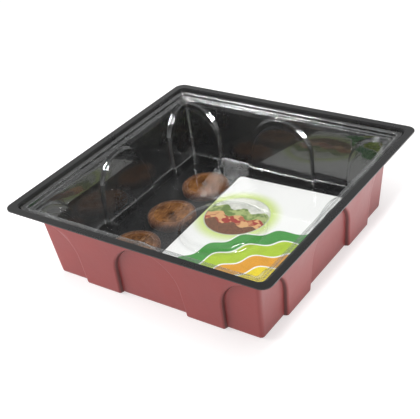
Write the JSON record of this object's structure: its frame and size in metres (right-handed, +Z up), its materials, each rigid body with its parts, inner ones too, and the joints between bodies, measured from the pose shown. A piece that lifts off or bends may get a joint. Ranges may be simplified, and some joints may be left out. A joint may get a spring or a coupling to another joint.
{
  "type": "seed propagator",
  "caption": "Square thermoformed propagator tray with a clear lid nested upside down inside it, coir pellets on its floor and a loose label card.",
  "frame": {"origin": "under the middle of the tray, on the plane that it stands on", "axes": "+Z up out of the tray, +X and +Y square to its walls"},
  "size_m": [0.23, 0.23, 0.0652],
  "materials": {
    "tray_sheet": "formed two-colour sheet, dusty terracotta outside and black inside, satin",
    "clear_sheet": "clear formed sheet, glossy",
    "card": "printed white board, satin",
    "coir": "pressed coir fibre, rough",
    "net": "fine non-woven net"
  },
  "bodies": {
    "tray": {"tray": "tray_sheet", "label_card": "card", "pellet_coir_1_1": "coir", "pellet_coir_1_2": "coir", "pellet_coir_1_3": "coir", "pellet_coir_2_1": "coir", "pellet_coir_2_2": "coir", "pellet_coir_2_3": "coir", "pellet_coir_3_1": "coir", "pellet_coir_3_2": "coir", "pellet_coir_3_3": "coir", "pellet_net_1_1": "net", "pellet_net_1_2": "net", "pellet_net_1_3": "net", "pellet_net_2_1": "net", "pellet_net_2_2": "net", "pellet_net_2_3": "net", "pellet_net_3_1": "net", "pellet_net_3_2": "net", "pellet_net_3_3": "net"},
    "lid": {"lid": "clear_sheet"}
  },
  "joints": [
    {"name": "lid_lift", "type": "slide", "parent": "tray", "child": "lid", "axis": [0, 0, 1], "range_m": [0, 0.075]}
  ]
}
